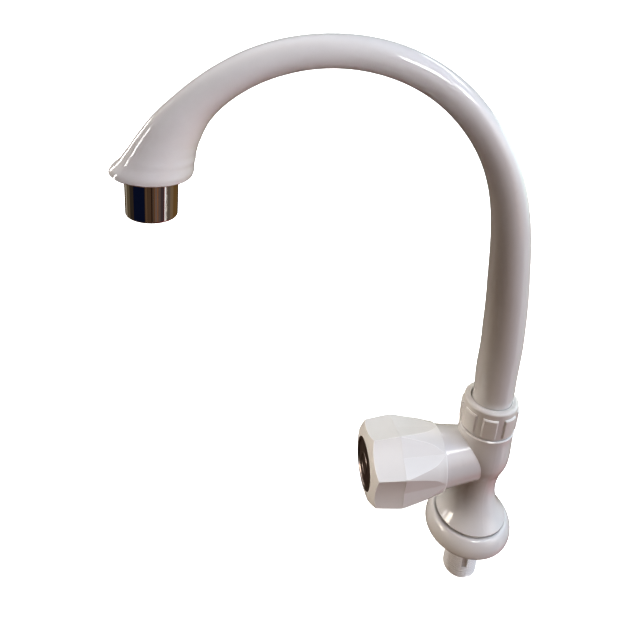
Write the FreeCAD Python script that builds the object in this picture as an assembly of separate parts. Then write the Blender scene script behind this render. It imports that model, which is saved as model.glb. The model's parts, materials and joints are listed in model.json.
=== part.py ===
import FreeCAD, Part
import math
import os

os.makedirs("parts", exist_ok=True)

V = FreeCAD.Vector

# Kitchen pillar tap with a swivelling swan-neck spout. All lengths in millimetres.
# Frame: Z up along the column, Z = 0 on the deck plane (underside of the trim ring and of
# the rubber base washer). The valve branch and its knob point along -Y. The spout is
# stored swung SPOUT_AZ degrees round the column, as it stands in the photo.

# ---------------------------------------------------------------- driving dimensions
VALVE_Z = 60.4          # height of the valve axis
SPOUT_AZ = 249.0        # direction of the spout, degrees from +X; the knob is at 270

# threaded shank, G1/2 (BSP parallel)
SHANK_R = 10.48
SHANK_PITCH = 1.814
SHANK_DEPTH = 1.10
SHANK_END = -35.7
SHANK_BORE = 6.5
KEYWAY_AZ = 348.0
KEYWAY_W = 3.6
KEYWAY_FLOOR_R = 8.3
KEYWAY_END = -27.0

# column
BOSS_R = 13.6
BOSS_Z = 3.0            # underside of the boss, on the rubber washer
SKIRT_R = 20.7
SKIRT_Z = 15.5
RIM_R = 15.55
RIM_Z = 82.45
SPIGOT_R = 13.0
SPIGOT_TOP = 92.7
SPIGOT_PITCH = 1.5
SPIGOT_DEPTH = 0.55
SOCKET_R = 10.2
SOCKET_FLOOR = 72.0

# valve branch; u is the distance from the column axis along -Y
BRANCH_SIDE = (13.3, 17.97)     # sideways half-width of the oval branch at u = 0 and at the cone end
BRANCH_UP = (15.6, 18.3)        # its half-height at the same two places
BRANCH_CONE_END = 27.8
BRANCH_END = 29.9
SEAT_HOLE_R = 5.5
SEAT_LIP_R = 6.8
SEAT_U = 9.1
CHAMBER_U = 8.2
CHAMBER_R = 9.2
HEAD_THREAD_R = 11.0
HEAD_THREAD_U0 = 19.6
HEAD_PITCH = 1.5
HEAD_DEPTH = 0.6
THREAD_GAP = 0.06       # clearance between fixed mating threads

# union nut
NUT_BOTTOM = 82.95
NUT_TOP = 101.35
NUT_R = 14.9
NUT_HOLE_R = 11.45
NUT_FLANGE_Z = 96.8
LUG_COUNT = 8
LUG_R = 15.8
LUG_W = 8.1
LUG_Z0 = 84.4
LUG_Z1 = 97.0
LUG_AZ0 = 292.0
NUT_ROUND_Z = 99.5
LUG_EDGE = 0.55         # chamfer round the outer face of a lug

# spout foot
FOOT_R = 10.1
FOOT_BOTTOM = 73.0
FOOT_BORE = 7.2
TUBE_R = 10.9
TUBE_WALL = 1.8
ORING_Z = (77.0, 83.0)
ORING_GROOVE_W = 2.1
ORING_GROOVE_R = 8.45
ORING_MAJOR = 9.32
RING_Z0, RING_Z1 = 94.1, 96.5
RING_ROOT_R = 9.3
RING_OUT_R = 12.6

# nozzle and aerator; t is the distance below the rim plane along the nozzle axis
RIM_C = (196.8, 213.4)
NOZZLE_TILT = 4.0       # degrees outward from straight down
BELL_R = 22.0
AER_THREAD_R = 12.0
AER_R = 14.4
AER_LEN = 25.35
AER_LEDGE = -8.2

# knob; theta is measured from +X towards +Z round the valve axis
KNOB_SIDES = 7
KNOB_FLAT_AZ = 48.4
KNOB_REAR = 28.1
KNOB_FRONT = 71.1
KNOB_CORNER_F = (23.85, 68.35)  # radius and u of the corners between the front facets and the front cone
KNOB_CORNER_B = (25.5, 53.7)   # the same where each facet bends
KNOB_APEX = (19.45, 28.0)       # radius and u where the crease of a rear facet runs out
KNOB_HOLLOW = 75.0              # radius of the hollow grind of the front facets
KNOB_CAVITY_R = 18.25
BADGE_R = 14.9
BADGE_FLOOR = 68.2

# valve insides
SPINDLE_R = 4.5
SPINDLE_BORE = 4.6
DRIVE_SQ = 6.2
JUMPER_AF = 11.8
GUIDE_AF = 12.0

# spout centre line and section table: radial distance, height, direction of the centre
# line in degrees above the horizontal, in-plane radius, sideways radius
SPOUT_SECTIONS = [
    (0.00, 98.00, 90.00, 11.07, 11.07),
    (-0.10, 114.95, 89.98, 11.15, 11.15),
    (0.08, 128.95, 88.90, 11.13, 11.13),
    (0.50, 142.95, 87.44, 11.02, 11.02),
    (1.34, 156.93, 85.76, 10.83, 10.83),
    (2.54, 170.88, 84.54, 10.56, 10.56),
    (3.99, 184.82, 83.54, 10.19, 10.19),
    (5.71, 198.72, 81.54, 9.74, 9.74),
    (8.18, 212.52, 77.67, 9.23, 9.23),
    (11.93, 226.02, 70.84, 8.72, 8.72),
    (17.51, 238.89, 62.04, 8.32, 8.32),
    (25.07, 250.70, 52.74, 8.07, 8.07),
    (34.43, 261.13, 43.42, 7.91, 7.91),
    (45.37, 269.87, 33.64, 7.84, 7.84),
    (57.67, 276.55, 23.52, 7.89, 7.89),
    (68.98, 280.51, 15.16, 7.94, 7.94),
    (80.73, 282.86, 7.44, 7.97, 7.97),
    (92.69, 283.66, 0.32, 7.99, 7.99),
    (104.65, 283.02, -6.25, 8.07, 8.07),
    (116.46, 281.06, -12.64, 8.26, 8.26),
    (126.08, 278.43, -17.92, 8.46, 8.46),
    (135.43, 274.93, -23.62, 8.63, 8.63),
    (143.53, 271.06, -29.55, 8.83, 8.83),
    (150.43, 267.06, -34.83, 9.06, 9.04),
    (156.26, 263.20, -39.34, 9.33, 9.31),
    (161.84, 258.99, -44.27, 9.72, 9.68),
    (166.39, 255.11, -48.83, 10.19, 10.12),
    (170.71, 251.00, -53.52, 10.79, 10.69),
    (174.81, 246.66, -58.53, 11.76, 11.60),
    (178.03, 242.88, -62.83, 12.74, 12.53),
    (181.09, 238.96, -67.35, 13.81, 13.53),
    (183.69, 235.31, -72.03, 14.72, 14.35),
    (185.86, 231.97, -76.05, 15.66, 15.20),
    (187.96, 228.58, -80.05, 16.70, 16.18),
    (189.91, 225.13, -83.65, 17.85, 17.30),
    (191.82, 221.65, -85.62, 19.12, 18.72),
    (194.20, 217.56, -85.85, 20.67, 20.52),
    (196.80, 213.40, -86.00, 22.00, 22.00),
]


# ---------------------------------------------------------------- shape helpers
def wire_from(segs):
    """Closed wire in the XZ plane from segments of (r, z) points: L polyline, S spline."""
    edges = []
    first = None
    last = None
    for kind, pts in segs:
        p = [V(a, 0, b) for a, b in pts]
        if last is not None and (p[0] - last).Length > 1e-6:
            edges.append(Part.makeLine(last, p[0]))
        if kind == "L":
            for a, b in zip(p[:-1], p[1:]):
                if (b - a).Length > 1e-6:
                    edges.append(Part.makeLine(a, b))
        else:
            c = Part.BSplineCurve()
            c.interpolate(p)
            edges.append(c.toShape())
        if first is None:
            first = p[0]
        last = p[-1]
    if (last - first).Length > 1e-6:
        edges.append(Part.makeLine(last, first))
    return Part.Wire(edges)


def lathe(segs):
    """Solid of revolution about Z; the profile is a closed loop of (r, z) points."""
    s = Part.Face(wire_from(segs)).revolve(V(0, 0, 0), V(0, 0, 1), 360)
    return Part.Solid(s) if s.ShapeType != "Solid" else s


def cyl(r, z0, z1):
    return Part.makeCylinder(r, z1 - z0, V(0, 0, z0))


def tube(r_in, r_out, z0, z1):
    return cyl(r_out, z0, z1).cut(cyl(r_in, z0 - 1, z1 + 1))


def thread(r, depth, pitch, z0, z1, gap=0.0):
    """Zigzag (r, z) points of a thread flank profile from z0 up to z1."""
    n = int((z1 - z0) / pitch)
    lead = ((z1 - z0) - n * pitch) / 2.0
    out = [(r - depth + gap, z0)]
    for i in range(n):
        b = z0 + lead + i * pitch
        out += [
            (r - depth + gap, b + 0.06 * pitch),
            (r + gap, b + 0.44 * pitch),
            (r + gap, b + 0.56 * pitch),
            (r - depth + gap, b + 0.94 * pitch),
        ]
    out.append((r - depth + gap, z1))
    return out


def hexagon(af, z0, z1, turn=0.0):
    rc = af / math.sqrt(3.0)
    pts = [
        V(
            rc * math.cos(math.radians(60 * i + turn)),
            rc * math.sin(math.radians(60 * i + turn)),
            z0,
        )
        for i in range(7)
    ]
    return Part.Face(Part.makePolygon(pts)).extrude(V(0, 0, z1 - z0))


def torus(major, minor, z):
    return Part.makeTorus(major, minor, V(0, 0, z), V(0, 0, 1))


def to_valve(shape):
    """Local Z becomes u, along -Y at the valve height; local Y becomes +Z."""
    s = shape.copy()
    s.rotate(V(0, 0, 0), V(1, 0, 0), 90)
    s.translate(V(0, 0, VALVE_Z))
    return s


def to_head(shape):
    """As to_valve; head pieces are drawn with the branch end face at 29 mm."""
    s = to_valve(shape)
    s.translate(V(0, 29.0 - BRANCH_END, 0))
    return s


def to_spout(shape):
    """Swing a shape built in the XZ plane to the stored direction of the spout."""
    s = shape.copy()
    s.rotate(V(0, 0, 0), V(0, 0, 1), SPOUT_AZ)
    return s


def to_nozzle(shape):
    """Local +Z becomes t, down the nozzle axis from the rim plane."""
    s = shape.copy()
    s.rotate(V(0, 0, 0), V(0, 1, 0), 180 - NOZZLE_TILT)
    s.translate(V(RIM_C[0], 0, RIM_C[1]))
    return to_spout(s)


def save(name, shape):
    if shape.ShapeType == "Compound" and len(shape.Solids) == 1:
        shape = shape.Solids[0]
    shape.exportStep("parts/%s.step" % name)


# ---------------------------------------------------------------- tap body
column_profile = [
    (
        "L",
        [
            (0, SHANK_END),
            (SHANK_R - 0.5, SHANK_END),
            (SHANK_R, SHANK_END + 0.4),
            (SHANK_R, SHANK_END + 0.6),
        ],
    ),
    (
        "L",
        thread(
            SHANK_R,
            SHANK_DEPTH,
            SHANK_PITCH,
            SHANK_END + 1.4,
            SHANK_END + 1.4 + 17 * SHANK_PITCH + 1e-6,
        ),
    ),
    (
        "L",
        [
            (SHANK_R - SHANK_DEPTH, -2.2),
            (SHANK_R, -2.0),
            (SHANK_R, 0.0),
            (SHANK_R - SHANK_DEPTH, 0.0),
            (SHANK_R - SHANK_DEPTH, BOSS_Z),
            (BOSS_R, BOSS_Z),
            (BOSS_R, 8.5),
        ],
    ),
    ("S", [(BOSS_R, 8.5), (15.4, 10.8), (17.7, 12.85), (19.5, 13.9)]),
    ("S", [(19.5, 13.9), (20.3, 14.15), (20.65, 14.75), (SKIRT_R, SKIRT_Z)]),
    (
        "S",
        [
            (SKIRT_R, SKIRT_Z),
            (19.3, 17.3),
            (17.9, 19.15),
            (16.65, 21.05),
            (15.5, 23.0),
            (14.55, 25.0),
            (13.75, 27.0),
            (13.1, 29.0),
            (12.6, 31.0),
            (12.2, 33.0),
            (11.95, 35.0),
            (11.8, 37.2),
            (11.72, 40.0),
            (11.85, 43.0),
            (12.1, 45.2),
        ],
    ),
    (
        "S",
        [
            (12.1, 45.2),
            (12.35, 47.0),
            (12.68, 49.0),
            (13.15, 51.0),
            (13.85, 53.0),
            (14.5, 55.0),
            (15.08, 57.0),
            (15.5, 59.0),
            (15.7, 61.0),
            (15.8, 63.5),
        ],
    ),
    ("S", [(15.8, 63.5), (15.75, 68.5), (15.45, 74.5), (RIM_R, RIM_Z - 0.5)]),
    ("L", [(RIM_R, RIM_Z - 0.5), (RIM_R - 0.5, RIM_Z), (SPIGOT_R - SPIGOT_DEPTH, RIM_Z)]),
    ("L", thread(SPIGOT_R, SPIGOT_DEPTH, SPIGOT_PITCH, RIM_Z + 1.0, SPIGOT_TOP - 0.5)),
    ("L", [(SPIGOT_R - SPIGOT_DEPTH, SPIGOT_TOP), (0, SPIGOT_TOP)]),
]
body = lathe(column_profile)



def oval(side, up, u):
    e = Part.Ellipse(V(0, 0, u), up, side).toShape()
    e.rotate(V(0, 0, u), V(0, 0, 1), 90)
    return Part.Wire(e)


cone = Part.makeLoft(
    [oval(BRANCH_SIDE[0], BRANCH_UP[0], 0.0), oval(BRANCH_SIDE[1], BRANCH_UP[1], BRANCH_CONE_END)],
    True,
    True,
)
collar = lathe(
    [
        (
            "L",
            [
                (0, BRANCH_CONE_END - 3.0),
                (17.3, BRANCH_CONE_END - 3.0),
                (17.9, BRANCH_CONE_END),
                (16.9, BRANCH_CONE_END + 0.8),
                (16.9, BRANCH_END),
                (0, BRANCH_END),
            ],
        )
    ]
)
branch = to_valve(cone.fuse(collar))
body = body.fuse(branch)

# water way up the shank, seat hole, valve chamber, head thread, spout socket
body = body.cut(cyl(SHANK_BORE, SHANK_END - 1, VALVE_Z + SEAT_HOLE_R + 0.1))
seat_cut = lathe(
    [
        (
            "L",
            [
                (0, 0),
                (SEAT_HOLE_R, 0),
                (SEAT_HOLE_R, SEAT_U - 0.3),
                (SEAT_HOLE_R + 0.3, SEAT_U),
                (SEAT_LIP_R - 0.3, SEAT_U),
                (SEAT_LIP_R, SEAT_U - 0.3),
                (SEAT_LIP_R, CHAMBER_U),
                (CHAMBER_R, CHAMBER_U),
                (CHAMBER_R, HEAD_THREAD_U0),
                (HEAD_THREAD_R - HEAD_DEPTH + THREAD_GAP, HEAD_THREAD_U0),
            ],
        ),
        (
            "L",
            thread(
                HEAD_THREAD_R, HEAD_DEPTH, HEAD_PITCH, HEAD_THREAD_U0, BRANCH_END, THREAD_GAP
            ),
        ),
        ("L", [(HEAD_THREAD_R - HEAD_DEPTH + THREAD_GAP, BRANCH_END + 1), (0, BRANCH_END + 1)]),
    ]
)
body = body.cut(to_valve(seat_cut))
body = body.cut(cyl(SOCKET_R, SOCKET_FLOOR, SPIGOT_TOP + 1))
port_a = V(0, -14.0, 63.7)
port_b = V(0, -5.0, 78.0)
body = body.cut(Part.makeCylinder(3.6, (port_b - port_a).Length, port_a, port_b - port_a))
body = body.cut(
    Part.makeCone(SOCKET_R, SOCKET_R + 0.8, 0.8, V(0, 0, SPIGOT_TOP - 0.75))
)

# anti-turn keyway down the side of the shank
key = Part.makeBox(
    6.0, KEYWAY_W, 0.5 - KEYWAY_END, V(KEYWAY_FLOOR_R, -KEYWAY_W / 2.0, KEYWAY_END)
)
key.rotate(V(0, 0, 0), V(0, 0, 1), KEYWAY_AZ)
body = body.cut(key)
save("tap_body", body)

# ---------------------------------------------------------------- base trim ring and washer
trim = lathe(
    [
        (
            "S",
            [
                (24.2, 0.0),
                (25.25, 0.75),
                (25.8, 2.2),
                (25.9, 3.9),
                (25.75, 5.9),
                (25.2, 8.1),
                (24.25, 10.3),
                (23.3, 11.75),
                (22.4, 12.7),
                (21.75, 13.05),
                (21.2, 13.1),
                (20.7, 12.95),
            ],
        ),
        (
            "L",
            [
                (20.7, 12.95),
                (19.7, 12.65),
                (18.7, 12.05),
                (17.4, 10.6),
                (16.4, 7.6),
                (16.4, 4.6),
                (15.0, 4.6),
                (15.0, 2.2),
                (22.2, 2.2),
                (22.6, 0.0),
            ],
        ),
    ]
)
trim.translate(V(-0.6, -0.15, 0))
save("base_trim_ring", trim)

save("base_washer", tube(10.7, 13.4, 0.0, BOSS_Z))

# ---------------------------------------------------------------- union nut
nut = lathe(
    [
        ("L", [(SPIGOT_R + THREAD_GAP, NUT_BOTTOM), (NUT_R - 0.4, NUT_BOTTOM), (NUT_R, NUT_BOTTOM + 0.4)]),
        ("L", [(NUT_R, NUT_BOTTOM + 0.4), (NUT_R, NUT_ROUND_Z)]),
        (
            "S",
            [
                (NUT_R, NUT_ROUND_Z),
                (NUT_R - 0.15, NUT_ROUND_Z + 0.8),
                (NUT_R - 0.7, NUT_TOP - 0.4),
                (NUT_R - 1.6, NUT_TOP),
            ],
        ),
        ("L", [(NUT_R - 1.6, NUT_TOP), (NUT_HOLE_R + 0.3, NUT_TOP), (NUT_HOLE_R, NUT_TOP - 0.3)]),
        ("L", [(NUT_HOLE_R, NUT_FLANGE_Z), (SPIGOT_R, NUT_FLANGE_Z), (SPIGOT_R, SPIGOT_TOP)]),
        (
            "L",
            list(
                reversed(
                    thread(
                        SPIGOT_R, SPIGOT_DEPTH, SPIGOT_PITCH, RIM_Z + 1.0, SPIGOT_TOP - 0.5, THREAD_GAP
                    )
                )
            ),
        ),
    ]
)
lug_ring = lathe(
    [
        (
            "L",
            [
                (NUT_R - 0.6, LUG_Z0),
                (LUG_R - LUG_EDGE, LUG_Z0),
                (LUG_R, LUG_Z0 + LUG_EDGE),
                (LUG_R, LUG_Z1 - LUG_EDGE),
                (LUG_R - LUG_EDGE, LUG_Z1),
                (NUT_R - 0.6, LUG_Z1),
            ],
        )
    ]
)
lugs = []
for i in range(LUG_COUNT):
    w = LUG_W / 2.0
    x1 = math.sqrt(LUG_R ** 2 - w ** 2)
    plan = [
        (12.0, -w),
        (x1 - LUG_EDGE, -w),
        (x1 + 0.1, -w + LUG_EDGE),
        (18.0, -w + LUG_EDGE),
        (18.0, w - LUG_EDGE),
        (x1 + 0.1, w - LUG_EDGE),
        (x1 - LUG_EDGE, w),
        (12.0, w),
        (12.0, -w),
    ]
    b = Part.Face(Part.makePolygon([V(px, py, LUG_Z0) for px, py in plan])).extrude(V(0, 0, LUG_Z1 - LUG_Z0))
    b.rotate(V(0, 0, 0), V(0, 0, 1), LUG_AZ0 + 360.0 * i / LUG_COUNT)
    lugs.append(b.common(lug_ring))
nut = nut.fuse(lugs)
save("union_nut", nut)

save("spout_friction_washer", tube(10.3, 12.5, SPIGOT_TOP + 0.05, RING_Z0 - 0.2))

# ---------------------------------------------------------------- spout
def section(cx, cz, slope, a, b, n=24):
    s = math.radians(slope)
    nx, nz = -math.sin(s), math.cos(s)
    pts = []
    for i in range(n):
        f = 2 * math.pi * i / n
        pts.append(
            V(cx + a * math.cos(f) * nx, b * math.sin(f), cz + a * math.cos(f) * nz)
        )
    c = Part.BSplineCurve()
    c.interpolate(Points=pts, PeriodicFlag=True)
    return Part.Wire(c.toShape())


tilt = math.radians(NOZZLE_TILT)
beyond = (RIM_C[0] + 2.2 * math.sin(tilt), RIM_C[1] - 2.2 * math.cos(tilt), -90.0 + NOZZLE_TILT, BELL_R + 0.6, BELL_R + 0.6)
outer = Part.makeLoft([section(*s) for s in SPOUT_SECTIONS + [beyond]], True, False)

inner_sections = []
for x, z, d, a, b in SPOUT_SECTIONS[:25]:
    r = a - TUBE_WALL
    inner_sections.append((x, z, d, r, r))
inner_sections[0] = (0.0, 98.8, 90.0, 8.4, 8.4)
inner_sections[1] = (0.02, 114.95, 89.7, 9.2, 9.2)
inner_sections += [
    (166.55, 255.26, -48.22, 7.9, 7.9),
    (175.4, 247.1, -58.0, 8.1, 8.1),
    (184.5, 237.5, -68.0, 8.3, 8.3),
    (191.7, 229.0, -77.0, 8.4, 8.4),
]
ledge = (RIM_C[0] + AER_LEDGE * math.sin(tilt), RIM_C[1] - AER_LEDGE * math.cos(tilt))
inner_sections.append((ledge[0], ledge[1] - 0.1, -90.0 + NOZZLE_TILT, 8.4, 8.4))
inner = Part.makeLoft([section(*s) for s in inner_sections], True, False)

foot = lathe(
    [
        ("L", [(FOOT_BORE, FOOT_BOTTOM), (FOOT_R - 0.6, FOOT_BOTTOM), (FOOT_R, FOOT_BOTTOM + 0.8)]),
        (
            "L",
            [
                (FOOT_R, ORING_Z[0]),
                (ORING_GROOVE_R, ORING_Z[0]),
                (ORING_GROOVE_R, ORING_Z[0] + ORING_GROOVE_W),
                (FOOT_R, ORING_Z[0] + ORING_GROOVE_W),
                (FOOT_R, ORING_Z[1]),
                (ORING_GROOVE_R, ORING_Z[1]),
                (ORING_GROOVE_R, ORING_Z[1] + ORING_GROOVE_W),
                (FOOT_R, ORING_Z[1] + ORING_GROOVE_W),
                (FOOT_R, RING_Z0),
                (RING_ROOT_R, RING_Z0),
                (RING_ROOT_R, RING_Z1),
                (TUBE_R, RING_Z1),
                (TUBE_R, 100.0),
            ],
        ),
        ("L", [(7.9, 100.0), (FOOT_BORE, 93.0)]),
    ]
)
spout_in_plane = outer.fuse(foot).cut(inner)
spout = to_spout(spout_in_plane)

lip_trim = to_nozzle(
    lathe(
        [
            ("S", [(24.2, -0.9), (22.75, -0.25), (22.0, 0.3), (21.5, 0.9), (20.9, 1.25), (20.2, 1.3)]),
            ("L", [(20.2, 1.3), (0, 1.3), (0, 6.0), (26.0, 6.0), (26.0, -0.9)]),
        ]
    )
)
recess = to_nozzle(
    lathe(
        [
            ("L", [(0, AER_LEDGE), (AER_THREAD_R + 0.05, AER_LEDGE), (AER_THREAD_R + 0.05, -7.0)]),
            ("L", thread(AER_THREAD_R, 0.5, 1.0, -7.0, 1.0, THREAD_GAP)),
            ("L", [(AER_THREAD_R + 0.3, 1.3), (AER_THREAD_R + 0.3, 3.0), (0, 3.0)]),
        ]
    )
)
hollow = to_nozzle(
    lathe([("L", [(15.2, 3.0), (15.2, -2.6), (16.4, -3.4), (18.9, -2.6), (20.3, 1.0), (20.3, 3.0)])])
)
boss_trim = to_nozzle(tube(11.0, 15.3, 0.9, 3.0))
spout = spout.cut(lip_trim).cut(recess).cut(hollow).cut(boss_trim)
save("swan_neck_spout", spout)

ring = tube(RING_ROOT_R + 0.05, RING_OUT_R, RING_Z0 + 0.05, RING_Z1 - 0.05)
ring = ring.cut(Part.makeBox(8.0, 2.6, 6.0, V(7.0, -1.3, RING_Z0 - 1)))
save("spout_retaining_ring", to_spout(ring))

orings = [
    torus(ORING_MAJOR, 0.84, ORING_Z[0] + ORING_GROOVE_W / 2.0),
    torus(ORING_MAJOR, 0.84, ORING_Z[1] + ORING_GROOVE_W / 2.0),
]
save("spout_o_rings", Part.makeCompound(orings))

# ---------------------------------------------------------------- aerator
housing = lathe(
    [
        ("L", [(10.4, -6.95), (AER_THREAD_R - 0.5, -6.95)]),
        ("L", thread(AER_THREAD_R, 0.5, 1.0, -6.0, 1.0)),
        (
            "L",
            [
                (AER_THREAD_R - 0.5, 1.05),
                (AER_R - 0.3, 1.05),
                (AER_R, 1.4),
                (AER_R, 3.0),
                (14.15, AER_LEN - 1.3),
            ],
        ),
        (
            "S",
            [
                (14.15, AER_LEN - 1.3),
                (13.95, AER_LEN - 0.55),
                (13.5, AER_LEN - 0.12),
                (12.9, AER_LEN),
            ],
        ),
        (
            "L",
            [
                (12.2, AER_LEN),
                (11.6, AER_LEN - 0.6),
                (11.2, AER_LEN - 3.0),
                (11.2, AER_LEN - 4.5),
                (10.4, AER_LEN - 4.5),
                (10.4, AER_LEN - 5.2),
                (11.0, AER_LEN - 5.2),
                (11.0, -5.0),
                (10.4, -5.0),
            ],
        ),
    ]
)
save("aerator_housing", to_nozzle(housing))

save("aerator_washer", to_nozzle(tube(8.5, 11.8, AER_LEDGE + 0.05, -7.0)))

diffuser = lathe(
    [
        (
            "L",
            [
                (0, -4.9),
                (10.9, -4.9),
                (10.9, -3.1),
                (9.9, -3.1),
                (9.9, -3.7),
                (5.0, -3.7),
                (5.0, -3.1),
                (4.2, -3.1),
                (4.2, -3.7),
                (1.6, -3.7),
                (1.6, -3.1),
                (0, -3.1),
            ],
        )
    ]
)
holes = []
for ring_r, count in ((3.2, 6), (6.2, 12), (8.9, 18)):
    for i in range(count):
        f = 2 * math.pi * (i + 0.5) / count
        holes.append(
            Part.makeCylinder(0.65, 4, V(ring_r * math.cos(f), ring_r * math.sin(f), -6))
        )
diffuser = diffuser.cut(holes)
save("aerator_diffuser", to_nozzle(diffuser))


def screen(z0):
    rim = tube(10.0, 10.9, z0, z0 + 0.5)
    bars = []
    for i in range(-6, 7):
        h = math.sqrt(10.4 ** 2 - (1.5 * i) ** 2)
        bars.append(Part.makeBox(0.4, 2 * h, 0.5, V(1.5 * i - 0.2, -h, z0)))
        bars.append(Part.makeBox(2 * h, 0.4, 0.5, V(-h, 1.5 * i - 0.2, z0)))
    return rim.fuse(bars)


save(
    "aerator_screens",
    Part.makeCompound([to_nozzle(screen(2.0)), to_nozzle(screen(6.0))]),
)

save(
    "aerator_spacers",
    Part.makeCompound([to_nozzle(tube(9.9, 10.9, -3.0, 1.95)), to_nozzle(tube(9.9, 10.9, 2.55, 5.95))]),
)

straight = cyl(10.9, 6.7, AER_LEN - 5.3)
cells = []
pitch = 3.1
for i in range(-4, 5):
    for j in range(-4, 5):
        x = pitch * (i + 0.5 * j)
        y = pitch * j * math.sqrt(3) / 2
        if math.hypot(x, y) < 8.9:
            h = hexagon(2.55, 6.0, AER_LEN, 30.0)
            h.translate(V(x, y, 0))
            cells.append(h)
straight = straight.cut(cells)
save("flow_straightener", to_nozzle(straight))

# ---------------------------------------------------------------- headwork in the branch
bonnet = lathe(
    [
        ("L", [(0, 19.0), (9.4, 19.0), (HEAD_THREAD_R - HEAD_DEPTH, 19.0)]),
        ("L", thread(HEAD_THREAD_R, HEAD_DEPTH, HEAD_PITCH, 18.7, 29.0)[1:]),
        (
            "L",
            [
                (HEAD_THREAD_R - HEAD_DEPTH, 29.9),
                (14.4, 29.9),
                (14.4, 31.0),
                (8.2, 31.0),
                (8.2, 43.0),
                (7.6, 43.6),
                (0, 43.6),
            ],
        ),
    ]
)
bonnet = bonnet.fuse(hexagon(24.0, 30.9, 35.5))
bonnet = bonnet.cut([hexagon(GUIDE_AF, 18.0, 30.0), cyl(GUIDE_AF / 2, 29.9, 32.85), cyl(SPINDLE_BORE, 32.0, 45.0)])
save("headwork_bonnet", to_head(bonnet))

save("bonnet_gasket", to_head(tube(11.3, 14.4, 29.03, 29.87)))

spindle = lathe(
    [
        ("L", [(0, 20.0), (3.2, 20.0)]),
        ("L", thread(3.9, 0.5, 2.0, 20.0, 29.4)),
        (
            "L",
            [
                (3.4, 30.2),
                (5.7, 30.2),
                (5.7, 32.0),
                (SPINDLE_R, 32.0),
                (SPINDLE_R, 35.6),
                (3.1, 35.6),
                (3.1, 37.5),
                (SPINDLE_R, 37.5),
                (SPINDLE_R, 39.6),
                (3.1, 39.6),
                (3.1, 41.5),
                (SPINDLE_R, 41.5),
                (SPINDLE_R, 43.9),
                (3.7, 43.9),
                (3.7, 44.9),
                (SPINDLE_R - 0.1, 44.9),
                (SPINDLE_R - 0.1, 61.0),
                (0, 61.0),
            ],
        ),
    ]
)
square = Part.makeBox(DRIVE_SQ, DRIVE_SQ, 22, V(-DRIVE_SQ / 2, -DRIVE_SQ / 2, 46.4))
outside_square = cyl(6.0, 46.4, 62.0).cut(square)
outside_square.rotate(V(0, 0, 0), V(0, 0, 1), KNOB_FLAT_AZ - 30)
spindle = spindle.cut([outside_square, cyl(1.7, 50.0, 62.0)])
save("valve_spindle", to_head(spindle))

save(
    "spindle_o_rings",
    Part.makeCompound([to_head(torus(3.85, 0.71, 36.55)), to_head(torus(3.85, 0.71, 40.55))]),
)
save("spindle_thrust_washer", to_head(tube(4.55, 5.9, 32.05, 32.75)))

circlip = tube(3.75, 6.0, 43.95, 44.85).cut(Part.makeBox(7, 3.2, 2, V(0, -1.6, 43.5)))
circlip = circlip.fuse(
    [
        Part.makeCylinder(1.25, 0.9, V(5.3, 2.6, 43.95)),
        Part.makeCylinder(1.25, 0.9, V(5.3, -2.6, 43.95)),
    ]
)
circlip = circlip.cut(
    [
        cyl(3.75, 43.0, 46.0),
        Part.makeCylinder(0.5, 3, V(5.4, 2.7, 43.0)),
        Part.makeCylinder(0.5, 3, V(5.4, -2.7, 43.0)),
    ]
)
save("spindle_circlip", to_head(circlip))

jumper = hexagon(JUMPER_AF, 13.9, 25.4).fuse(cyl(8.2, 12.2, 14.0))
jumper = jumper.fuse(tube(7.55, 8.2, 10.6, 12.3))
jumper = jumper.cut([cyl(4.0, 15.2, 26.0), cyl(1.55, 10.0, 14.7)])
save("jumper_valve", to_valve(jumper))
save("seat_washer", to_valve(tube(1.6, 7.5, SEAT_U + 0.1, 12.17)))
washer_screw = cyl(3.0, 7.9, 9.17).fuse(cyl(1.5, 9.1, 14.6))
washer_screw = washer_screw.cut(Part.makeBox(8, 0.8, 0.7, V(-4, -0.4, 7.7)))
save("washer_screw", to_valve(washer_screw))

# ---------------------------------------------------------------- knob
half = math.pi / KNOB_SIDES
facet_f = KNOB_CORNER_F[0] * math.cos(half)
facet_b = KNOB_CORNER_B[0] * math.cos(half)
knob = lathe(
    [
        ("L", [(0, KNOB_REAR), (18.9, KNOB_REAR)]),
        (
            "S",
            [
                (18.9, KNOB_REAR),
                (19.35, 28.35),
                (19.65, 29.2),
                (20.95, 34.0),
                (22.45, 40.0),
                (23.9, 46.5),
                (24.95, 51.2),
                (25.3, 53.7),
                (25.1, 57.0),
                (24.75, 60.5),
                (24.35, 64.0),
                (23.8, 67.8),
            ],
        ),
        (
            "L",
            [
                (23.8, 67.8),
                (23.8, 68.35),
            ],
        ),
        (
            "S",
            [
                (23.8, 68.35),
                (21.0, 69.5),
                (18.0, 70.45),
                (15.5, KNOB_FRONT - 0.05),
            ],
        ),
        (
            "L",
            [
                (15.5, KNOB_FRONT - 0.05),
                (BADGE_R + 0.3, KNOB_FRONT),
                (BADGE_R, KNOB_FRONT),
                (BADGE_R, BADGE_FLOOR),
                (0, BADGE_FLOOR),
            ],
        ),
    ]
)

# hollow of a front facet: a large cylinder that passes through its four corners
mid_f = facet_f - (KNOB_CORNER_F[0] * math.sin(half)) ** 2 / (2 * KNOB_HOLLOW)
mid_b = facet_b - (KNOB_CORNER_B[0] * math.sin(half)) ** 2 / (2 * KNOB_HOLLOW)
slope = (mid_b - mid_f) / (KNOB_CORNER_F[1] - KNOB_CORNER_B[1])
lean = V(-slope, 0, 1)
lean.normalize()
out = V(lean.z, 0, -lean.x)
foot_pt = V(mid_b, 0, KNOB_CORNER_B[1])
hollow_cut = Part.makeCylinder(KNOB_HOLLOW, 50.0, foot_pt + out * KNOB_HOLLOW - lean * 10.0, lean)
near = Part.makeBox(14.0, 44.0, 40.0, V(15.0, -22.0, KNOB_CORNER_B[1]))
hollow_cut = hollow_cut.common(near)

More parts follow.
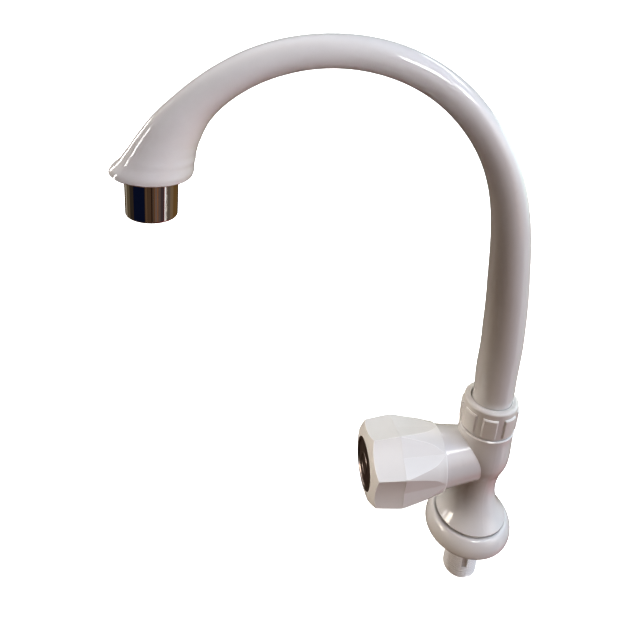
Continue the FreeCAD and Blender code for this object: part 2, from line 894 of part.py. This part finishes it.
# rear facet: two planes through the bend, meeting in a crease that runs out at the rear edge
crease_b = V(mid_b, 0, KNOB_CORNER_B[1])
crease_r = V(KNOB_APEX[0], 0, KNOB_APEX[1])
corner = V(facet_b, KNOB_CORNER_B[0] * math.sin(half), KNOB_CORNER_B[1])
drop = crease_r - crease_b
beyond_r = crease_b + drop * 1.3
side = corner - crease_b
side.normalize()


def valley(sign):
    """Wedge outside one plane of a rear facet."""
    w = V(side.x, sign * side.y, side.z) * 24.0
    far = V(16.0, 0, 0)
    p = [crease_b, crease_b + w, beyond_r + w, beyond_r]
    face = Part.Face(Part.makePolygon(p + [p[0]]))
    return face.extrude(far)


cutters = []
for i in range(KNOB_SIDES):
    az = KNOB_FLAT_AZ + 360.0 / KNOB_SIDES * i
    for c in (hollow_cut, valley(1), valley(-1)):
        c = c.copy()
        c.rotate(V(0, 0, 0), V(0, 0, 1), az)
        cutters.append(c)
knob = knob.cut(cutters)

cavity = cyl(KNOB_CAVITY_R, KNOB_REAR - 1, 61.0).cut(cyl(7.5, 47.5, 63.0))
ribs = []
for i in range(6):
    b = Part.makeBox(14.0, 1.6, 9.0, V(6.5, -0.8, 52.5))
    b.rotate(V(0, 0, 0), V(0, 0, 1), KNOB_FLAT_AZ + 30 + 60.0 * i)
    ribs.append(b)
cavity = cavity.cut(ribs)
socket = Part.makeBox(DRIVE_SQ + 0.1, DRIVE_SQ + 0.1, 16.0, V(-(DRIVE_SQ + 0.1) / 2, -(DRIVE_SQ + 0.1) / 2, 46.4))
socket.rotate(V(0, 0, 0), V(0, 0, 1), KNOB_FLAT_AZ - 30)
knob = knob.cut([cavity, socket, cyl(2.1, 61.0, 70.0), cyl(4.2, 65.7, 70.0)])
save("knob", to_valve(knob))

screw = cyl(1.65, 52.4, 66.0).fuse(
    lathe([("L", [(0, 65.75), (3.9, 65.75), (3.9, 66.9), (3.0, 67.8), (0, 67.8)])])
)
cross = Part.makeBox(4.0, 0.9, 1.4, V(-2.0, -0.45, 66.7)).fuse(
    Part.makeBox(0.9, 4.0, 1.4, V(-0.45, -2.0, 66.7))
)
save("knob_screw", to_valve(screw.cut(cross)))

badge = lathe(
    [
        (
            "L",
            [
                (0, BADGE_FLOOR + 0.1),
                (BADGE_R - 0.1, BADGE_FLOOR + 0.1),
                (BADGE_R - 0.1, KNOB_FRONT - 0.5),
                (BADGE_R - 0.5, KNOB_FRONT - 0.1),
                (13.4, KNOB_FRONT - 0.1),
                (12.9, KNOB_FRONT - 0.6),
            ],
        ),
        ("S", [(12.9, KNOB_FRONT - 0.6), (9.6, KNOB_FRONT - 0.45), (6.4, KNOB_FRONT - 0.35)]),
        (
            "L",
            [
                (6.4, KNOB_FRONT - 0.35),
                (6.1, KNOB_FRONT - 0.1),
                (5.3, KNOB_FRONT - 0.1),
                (5.0, KNOB_FRONT - 0.35),
                (0, KNOB_FRONT - 0.3),
            ],
        ),
    ]
)
save("index_cap", to_valve(badge))
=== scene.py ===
import json
import math

import bpy
from mathutils import Matrix, Vector

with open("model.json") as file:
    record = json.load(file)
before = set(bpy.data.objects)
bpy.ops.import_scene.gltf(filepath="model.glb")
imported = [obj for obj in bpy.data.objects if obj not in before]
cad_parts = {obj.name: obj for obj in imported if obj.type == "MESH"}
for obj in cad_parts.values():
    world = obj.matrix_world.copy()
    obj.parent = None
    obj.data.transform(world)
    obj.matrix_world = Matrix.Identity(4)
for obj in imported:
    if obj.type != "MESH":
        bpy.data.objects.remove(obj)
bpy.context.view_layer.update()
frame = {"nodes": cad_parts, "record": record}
scene = bpy.context.scene
scene.view_settings.view_transform = "Standard"
scene.view_settings.look = "High Contrast"

# The object stands on its shank; the floor lies just under the shank's end.
FLOOR_Z = -0.0358


# ---------------------------------------------------------------- node helpers
def new_material(name):
    m = bpy.data.materials.new(name)
    m.use_nodes = True
    nt = m.node_tree
    nt.nodes.clear()
    out = nt.nodes.new("ShaderNodeOutputMaterial")
    bsdf = nt.nodes.new("ShaderNodeBsdfPrincipled")
    nt.links.new(bsdf.outputs[0], out.inputs["Surface"])
    return m, nt, bsdf


def noise(nt, scale, detail=4.0, rough=0.55, stretch=(1, 1, 1)):
    tc = nt.nodes.new("ShaderNodeTexCoord")
    mp = nt.nodes.new("ShaderNodeMapping")
    mp.inputs["Scale"].default_value = stretch
    nt.links.new(tc.outputs["Object"], mp.inputs["Vector"])
    n = nt.nodes.new("ShaderNodeTexNoise")
    n.inputs["Scale"].default_value = scale
    n.inputs["Detail"].default_value = detail
    n.inputs["Roughness"].default_value = rough
    nt.links.new(mp.outputs[0], n.inputs["Vector"])
    return n.outputs["Fac"]


def ramp(nt, fac, stops):
    r = nt.nodes.new("ShaderNodeValToRGB")
    r.color_ramp.elements[0].position = stops[0][0]
    r.color_ramp.elements[0].color = tuple(stops[0][1]) + (1,)
    r.color_ramp.elements[1].position = stops[-1][0]
    r.color_ramp.elements[1].color = tuple(stops[-1][1]) + (1,)
    for pos, col in stops[1:-1]:
        e = r.color_ramp.elements.new(pos)
        e.color = tuple(col) + (1,)
    nt.links.new(fac, r.inputs[0])
    return r.outputs[0]


def span(nt, fac, lo, hi, a=0.3, b=0.7):
    r = nt.nodes.new("ShaderNodeMapRange")
    r.inputs["From Min"].default_value = a
    r.inputs["From Max"].default_value = b
    r.inputs["To Min"].default_value = lo
    r.inputs["To Max"].default_value = hi
    nt.links.new(fac, r.inputs["Value"])
    return r.outputs[0]


def bump(nt, bsdf, height, dist, strength=1.0):
    b = nt.nodes.new("ShaderNodeBump")
    b.inputs["Strength"].default_value = strength
    b.inputs["Distance"].default_value = dist
    nt.links.new(height, b.inputs["Height"])
    nt.links.new(b.outputs[0], bsdf.inputs["Normal"])
    return b


def white_plastic(name, a, b, r0, r1, peel=0.00002, painted_highlight_radius=0.0, turn=(0.9978, 0.9895), unhighlit_bend_y=None):
    m, nt, s = new_material(name)
    base = ramp(nt, noise(nt, 22.0, 3.0), [(0.3, a), (0.72, b)])
    if painted_highlight_radius:
        # painted highlight: along sharp edges, where the bevel normal turns away from the surface normal, the base
        # colour is mixed towards white, standing in for the bright lines that rounded edges reflect
        e = nt.nodes.new("ShaderNodeBevel")
        e.samples = 8
        e.inputs["Radius"].default_value = painted_highlight_radius
        g = nt.nodes.new("ShaderNodeNewGeometry")
        d = nt.nodes.new("ShaderNodeVectorMath")
        d.operation = "DOT_PRODUCT"
        nt.links.new(e.outputs[0], d.inputs[0])
        nt.links.new(g.outputs["Normal"], d.inputs[1])
        painted_highlight_mask = span(nt, d.outputs["Value"], 0.0, 1.0, *turn)
        if unhighlit_bend_y is not None:
            # a bend that the mould blends away, at this distance along the part's own Y: the painted edge highlight is
            # left off there
            tc = nt.nodes.new("ShaderNodeTexCoord")
            sep = nt.nodes.new("ShaderNodeSeparateXYZ")
            nt.links.new(tc.outputs["Object"], sep.inputs[0])
            off = nt.nodes.new("ShaderNodeMath")
            off.operation = "SUBTRACT"
            off.inputs[1].default_value = unhighlit_bend_y
            nt.links.new(sep.outputs["Y"], off.inputs[0])
            far = nt.nodes.new("ShaderNodeMath")
            far.operation = "ABSOLUTE"
            nt.links.new(off.outputs[0], far.inputs[0])
            both = nt.nodes.new("ShaderNodeMath")
            both.operation = "MULTIPLY"
            nt.links.new(span(nt, far.outputs[0], 0.0, 1.0, 0.0005, 0.0011), both.inputs[0])
            nt.links.new(painted_highlight_mask, both.inputs[1])
            painted_highlight_mask = both.outputs[0]
        # the painted highlight: base colour mixed to pure white under the mask
        mix = nt.nodes.new("ShaderNodeMix")
        mix.data_type = "RGBA"
        nt.links.new(painted_highlight_mask, mix.inputs["Factor"])
        nt.links.new(base, mix.inputs["A"])
        mix.inputs["B"].default_value = (1.0, 1.0, 1.0, 1.0)
        base = mix.outputs["Result"]
    nt.links.new(base, s.inputs["Base Color"])
    nt.links.new(span(nt, noise(nt, 60.0, 4.0), r0, r1), s.inputs["Roughness"])
    bump(nt, s, noise(nt, 900.0, 2.0), peel, 0.5)
    s.inputs["IOR"].default_value = 1.53
    return m


def metal(name, a, b, r0, r1, stretch=(1, 1, 1), scale=80.0):
    m, nt, s = new_material(name)
    s.inputs["Metallic"].default_value = 1.0
    nt.links.new(ramp(nt, noise(nt, scale, 3.0, 0.5, stretch), [(0.3, a), (0.7, b)]), s.inputs["Base Color"])
    nt.links.new(span(nt, noise(nt, scale * 2, 4.0, 0.5, stretch), r0, r1), s.inputs["Roughness"])
    bump(nt, s, noise(nt, scale * 6, 2.0, 0.5, stretch), 0.00001, 0.3)
    return m


def dull(name, a, b, r0, r1, scale=90.0):
    m, nt, s = new_material(name)
    nt.links.new(ramp(nt, noise(nt, scale, 4.0), [(0.3, a), (0.7, b)]), s.inputs["Base Color"])
    nt.links.new(span(nt, noise(nt, scale * 2, 4.0), r0, r1), s.inputs["Roughness"])
    bump(nt, s, noise(nt, scale * 8, 3.0), 0.00003, 0.5)
    return m


WHITE_A, WHITE_B = (0.775, 0.77, 0.775), (0.825, 0.82, 0.825)
M = {
    # The number after the peel depth, where given, is the radius of the painted edge highlight.
    "white_body": white_plastic("white_abs_body", WHITE_A, WHITE_B, 0.09, 0.13, 0.00001, 0.0003),
    "white_ring": white_plastic("white_abs_ring", WHITE_A, WHITE_B, 0.08, 0.11, 0.00001),
    "white_nut": white_plastic("white_abs_nut", (0.77, 0.75, 0.73), (0.82, 0.80, 0.79), 0.26, 0.34, 0.00004, 0.0003),
    "white_spout": white_plastic("white_abs_spout", (0.785, 0.78, 0.785), WHITE_B, 0.06, 0.09, 0.00001),
    # painted light: the knob is the same white plastic as the body, set lighter so it reads brighter; it also gets the
    # painted edge highlight, left off along its bend
    "white_knob": white_plastic("white_abs_knob", (0.83, 0.825, 0.82), (0.87, 0.865, 0.865), 0.36, 0.42, 0.00001, 0.00042, (0.9993, 0.9968), -0.0537),
    "chrome_aerator": metal("chrome_plate", (0.80, 0.79, 0.78), (0.86, 0.86, 0.87), 0.03, 0.06),
    "chrome_cap": metal("tinted_plate", (0.20, 0.17, 0.16), (0.34, 0.30, 0.29), 0.28, 0.36),
    "black_rubber": dull("black_rubber", (0.012, 0.012, 0.012), (0.03, 0.03, 0.03), 0.55, 0.75),
    "slide_nylon": dull("slide_nylon", (0.70, 0.68, 0.60), (0.78, 0.76, 0.68), 0.40, 0.55),
    "acetal_head": dull("acetal_head", (0.62, 0.60, 0.55), (0.70, 0.68, 0.62), 0.35, 0.50),
    "fibre_gasket": dull("fibre_gasket", (0.22, 0.05, 0.03), (0.32, 0.09, 0.05), 0.70, 0.85),
    "white_plastic": dull("acetal_white", (0.68, 0.68, 0.66), (0.76, 0.76, 0.74), 0.35, 0.50),
    "grey_plastic": dull("acetal_grey", (0.30, 0.31, 0.33), (0.38, 0.39, 0.41), 0.35, 0.50),
    "steel_mesh": metal("steel_wire", (0.45, 0.45, 0.45), (0.60, 0.60, 0.60), 0.25, 0.40),
    "steel_screw": metal("steel_zinc", (0.42, 0.42, 0.43), (0.58, 0.58, 0.58), 0.25, 0.40),
    "bare_brass": metal("bare_brass", (0.62, 0.43, 0.16), (0.76, 0.56, 0.25), 0.22, 0.38),
}
slot_of = {s["node"]: s["material_slot"] for s in frame["record"]["subparts"]}
for node, obj in frame["nodes"].items():
    mat = M[slot_of[node]]
    if not obj.material_slots:
        obj.data.materials.append(mat)
    for s in obj.material_slots:
        s.material = mat


# ---------------------------------------------------------------- stage
def stage_mesh(name, verts, faces, mat):
    me = bpy.data.meshes.new(name)
    me.from_pydata(verts, [], faces)
    o = bpy.data.objects.new(name, me)
    scene.collection.objects.link(o)
    me.materials.append(mat)
    return o


# A plain near-white floor that only the camera sees, so the object's underside is lit as in the photo.
m, nt, s = new_material("pale_floor")
nt.links.new(ramp(nt, noise(nt, 3.0, 2.0), [(0.3, (0.88, 0.88, 0.88)), (0.7, (0.90, 0.90, 0.90))]), s.inputs["Base Color"])
s.inputs["Roughness"].default_value = 0.95
s.inputs["Specular IOR Level"].default_value = 0.0
s.inputs["Emission Color"].default_value = (1.0, 1.0, 1.0, 1.0)
s.inputs["Emission Strength"].default_value = 0.92
F = 30.0
floor = stage_mesh("floor", [(-F, -F, FLOOR_Z), (F, -F, FLOOR_Z), (F, F, FLOOR_Z), (-F, F, FLOOR_Z)], [(0, 1, 2, 3)], m)
# A far wall in the same pale tone closes the view where a low camera would see past the floor.
N, R, H = 48, 28.0, 24.0
ring_xy = [(R * math.cos(2 * math.pi * k / N), R * math.sin(2 * math.pi * k / N)) for k in range(N)]
wall = stage_mesh(
    "wall",
    [(x, y, FLOOR_Z) for x, y in ring_xy] + [(x, y, H) for x, y in ring_xy],
    [(k, (k + 1) % N, N + (k + 1) % N, N + k) for k in range(N)],
    m,
)
for o in (floor, wall):
    o.visible_diffuse = False
    o.visible_glossy = False
    o.visible_shadow = False
    o.visible_transmission = False
    o.visible_volume_scatter = False


# ---------------------------------------------------------------- camera
TURN = math.radians(270.0 - 211.437)
YAW, PITCH, ROLL = -0.362, 0.403, 0.047
DIST, HIGH = 0.280237, 0.320693
FOCAL, CX, CY = 581.639, 323.709, 212.095

fwd = Vector((math.sin(YAW) * math.cos(PITCH), math.cos(YAW) * math.cos(PITCH), -math.sin(PITCH)))
right = Vector((math.cos(YAW), -math.sin(YAW), 0.0))
up = right.cross(fwd)
r2 = right * math.cos(ROLL) + up * math.sin(ROLL)
u2 = up * math.cos(ROLL) - right * math.sin(ROLL)
rot = Matrix.Rotation(TURN, 3, "Z")
fwd, r2, u2 = rot @ fwd, rot @ r2, rot @ u2
eye = rot @ Vector((0.0, -DIST, HIGH))
cam_data = bpy.data.cameras.new("camera")
cam = bpy.data.objects.new("camera", cam_data)
scene.collection.objects.link(cam)
cam.matrix_world = Matrix(
    (
        (r2.x, u2.x, -fwd.x, eye.x),
        (r2.y, u2.y, -fwd.y, eye.y),
        (r2.z, u2.z, -fwd.z, eye.z),
        (0, 0, 0, 1),
    )
)
cam_data.sensor_fit = "HORIZONTAL"
cam_data.sensor_width = 36.0
cam_data.lens = FOCAL / 640.0 * 36.0
cam_data.shift_x = (320.0 - CX) / 640.0
cam_data.shift_y = (CY - 320.0) / 640.0
cam_data.clip_start = 0.005
cam_data.clip_end = 200.0
scene.camera = cam


# ---------------------------------------------------------------- lights
def area(name, pos, target, size, power, color, spread=180.0):
    d = bpy.data.lights.new(name, "AREA")
    d.shape = "RECTANGLE"
    d.size, d.size_y = size
    d.energy = power
    d.color = color
    d.spread = math.radians(spread)
    o = bpy.data.objects.new(name, d)
    scene.collection.objects.link(o)
    p = Vector(pos)
    o.location = p
    o.rotation_euler = (Vector(target) - p).to_track_quat("-Z", "Y").to_euler()
    return o


def around(side, ahead, high):
    """A place given by metres to the camera's right, metres away from it, and height."""
    flat = Vector((fwd.x, fwd.y, 0)).normalized()
    rr = Vector((flat.y, -flat.x, 0))
    c = Vector((-0.035, -0.09, 0.0))
    p = c + rr * side + flat * ahead
    return (p.x, p.y, high)


# Soft room light: broad patches of the sky dome, given by degrees round from the camera's side
# (0 behind the camera, 90 to its right), degrees above the horizontal, sharpness and colour.
PATCHES = [
    (60, 55, 10, (0.92, 1.11, 1.45)),
    (240, 55, 10, (1.40, 1.42, 1.44)),
    (300, 55, 10, (0.35, 0.18, 0.0)),
    (60, 20, 16, (2.58, 2.52, 2.50)),
    (90, 20, 16, (0.75, 1.04, 1.20)),
    (180, 20, 16, (0.30, 0.35, 0.30)),
    (0, -45, 10, (0.08, 0.04, 0.02)),
    (180, -45, 10, (0.09, 0.05, 0.03)),
    (270, -45, 10, (0.11, 0.06, 0.03)),
    (240, 20, 16, (0.72, 0.66, 0.60)),
    (45, -12, 16, (0.44, 0.16, 0.0)),
    (225, -12, 16, (0.52, 0.46, 0.41)),
    (90, -45, 10, (0.28, 0.0, 0.0)),
]


def sky_dir(turn, high):
    flat = Vector((fwd.x, fwd.y, 0)).normalized()
    rr = Vector((flat.y, -flat.x, 0))
    a, e = math.radians(turn), math.radians(high)
    return ((rr * math.sin(a) - flat * math.cos(a)) * math.cos(e) + Vector((0, 0, math.sin(e)))).normalized()


world = bpy.data.worlds.new("studio")
scene.world = world
world.use_nodes = True
wn = world.node_tree
wn.nodes.clear()
wo = wn.nodes.new("ShaderNodeOutputWorld")
tc = wn.nodes.new("ShaderNodeTexCoord")
total = None
for turn, high, sharp, col in PATCHES:
    dot = wn.nodes.new("ShaderNodeVectorMath")
    dot.operation = "DOT_PRODUCT"
    dot.inputs[1].default_value = sky_dir(turn, high)
    mx = wn.nodes.new("ShaderNodeMath")
    mx.operation = "MAXIMUM"
    mx.inputs[1].default_value = 0.0
    pw = wn.nodes.new("ShaderNodeMath")
    pw.operation = "POWER"
    pw.inputs[1].default_value = sharp
    sc = wn.nodes.new("ShaderNodeVectorMath")
    sc.operation = "SCALE"
    sc.inputs[0].default_value = col
    wn.links.new(tc.outputs["Generated"], dot.inputs[0])
    wn.links.new(dot.outputs["Value"], mx.inputs[0])
    wn.links.new(mx.outputs[0], pw.inputs[0])
    wn.links.new(pw.outputs[0], sc.inputs["Scale"])
    if total is None:
        total = sc.outputs[0]
    else:
        ad = wn.nodes.new("ShaderNodeVectorMath")
        ad.operation = "ADD"
        wn.links.new(total, ad.inputs[0])
        wn.links.new(sc.outputs[0], ad.inputs[1])
        total = ad.outputs[0]
ad = wn.nodes.new("ShaderNodeVectorMath")
ad.operation = "ADD"
ad.inputs[0].default_value = (0.022, 0.015, 0.012)
wn.links.new(total, ad.inputs[1])
bg = wn.nodes.new("ShaderNodeBackground")
bg.inputs["Strength"].default_value = 1.0
wn.links.new(ad.outputs[0], bg.inputs["Color"])
wn.links.new(bg.outputs[0], wo.inputs["Surface"])

# Softboxes near the object, with grids that keep each beam narrow.
for name, pos, aim, size, spread, power, col in (
    ("softbox_arch", (-0.03, -0.42, 0.29), (-0.018, 0.0, 0.287), 0.15, 24, 0.022, (0.88, 0.93, 1.0)),
    ("softbox_arch_b", (0.04, -0.42, 0.36), (0.04, 0.0, 0.272), 0.15, 22, 0.003, (0.90, 0.94, 1.0)),
    ("softbox_nozzle", (-0.25, -0.35, 0.30), (-0.12, 0.0, 0.235), 0.15, 30, 0.0055, (0.94, 0.93, 1.0)),
    ("softbox_ring", (-0.10, -0.20, 0.08), (0.08, -0.02, 0.0), 0.08, 26, 0.0022, (1.0, 0.93, 0.84)),
    ("softbox_right", (0.40, 0.10, 0.25), (0.095, -0.017, 0.18), 0.25, 60, 0.045, (0.80, 1.0, 0.88)),
    ("softbox_back", (0.30, 0.30, 0.20), (0.095, -0.017, 0.15), 0.20, 60, 0.060, (1.0, 0.94, 0.80)),
    ("softbox_knob", (-0.30, -0.10, 0.15), (0.046, -0.027, 0.06), 0.12, 30, 0.016, (1.0, 0.93, 0.82)),
):
    lamp = area(name, around(*pos), around(*aim), (size, size), power, col, spread)
    lamp.visible_camera = False
    if name in ("softbox_arch", "softbox_arch_b", "softbox_nozzle", "softbox_ring"):
        lamp.visible_glossy = False


# ---------------------------------------------------------------- what the gloss reflects
def glow(name, color, strength):
    m, nt, s = new_material(name)
    s.inputs["Base Color"].default_value = (0.0, 0.0, 0.0, 1.0)
    s.inputs["Specular IOR Level"].default_value = 0.0
    c = ramp(nt, noise(nt, 1.5, 2.0), [(0.2, [v * 0.96 for v in color]), (0.8, color)])
    nt.links.new(c, s.inputs["Emission Color"])
    s.inputs["Emission Strength"].default_value = strength
    return m


def card(name, centre, turns, highs, dist, color, strength):
    """A curved card round a centre, seen only in reflections."""
    n = max(1, int(abs(turns[1] - turns[0]) / 4.0))
    verts, faces = [], []
    for k in range(n + 1):
        t = turns[0] + (turns[1] - turns[0]) * k / n
        for h in highs:
            flat = sky_dir(t, 0.0)
            p = Vector(centre) + flat * dist + Vector((0, 0, dist * math.tan(math.radians(h))))
            verts.append(tuple(p))
    for k in range(n):
        faces.append((2 * k, 2 * k + 2, 2 * k + 3, 2 * k + 1))
    o = stage_mesh(name, verts, faces, glow(name + "_glow", color, strength))
    o.visible_camera = False
    o.visible_diffuse = False
    o.visible_shadow = False
    o.visible_transmission = False
    o.visible_volume_scatter = False
    return o


MIDDLE = (-0.02, -0.08, 0.15)
card("window_a", MIDDLE, (3, 30), (37, 47), 2.5, (1.0, 1.0, 1.0), 13.0)
card("window_b", MIDDLE, (44, 62), (36, 45), 2.5, (1.0, 1.0, 1.0), 9.0)
card("window_c", MIDDLE, (98, 146), (41, 50), 2.5, (1.0, 1.0, 1.0), 4.0)
card("window_d", MIDDLE, (227.5, 233), (1, 12), 2.5, (1.0, 0.98, 0.94), 6.0)
card("window_e", MIDDLE, (259.5, 266), (4, 19), 2.5, (1.0, 0.98, 0.94), 8.0)

# The room as the chrome sleeve shows it: upright bands below the horizon.
SLEEVE = (-0.063, -0.185, 0.20)
for name, turns, col in (
    ("band_olive_b", (170, 236), (0.10, 0.078, 0.048)),
    ("band_glint", (240, 245), (0.34, 0.31, 0.24)),
    ("band_olive", (247, 270), (0.115, 0.092, 0.06)),
    ("band_bark", (271, 289), (0.045, 0.035, 0.026)),
    ("band_navy", (292, 344), (0.007, 0.011, 0.030)),
    ("band_gold", (347, 356), (0.11, 0.072, 0.045)),
    ("band_umber", (358, 371), (0.085, 0.054, 0.034)),
    ("band_soot", (373, 377), (0.02, 0.014, 0.012)),
    ("band_umber_b", (378, 386), (0.10, 0.07, 0.052)),
    ("band_lilac", (388, 400), (0.15, 0.105, 0.085)),
    ("band_lilac_b", (402, 414), (0.12, 0.088, 0.075)),
    ("band_plum", (414, 430), (0.068, 0.050, 0.052)),
    ("band_bright", (433, 441), (0.75, 0.77, 0.77)),
    ("band_brown", (446, 464), (0.125, 0.100, 0.080)),
    ("band_tan", (464, 484), (0.18, 0.13, 0.082)),
    ("band_ochre", (484, 525), (0.145, 0.09, 0.038)),
):
    card(name, SLEEVE, turns, (-42, -12), 1.6, col, 1.0)
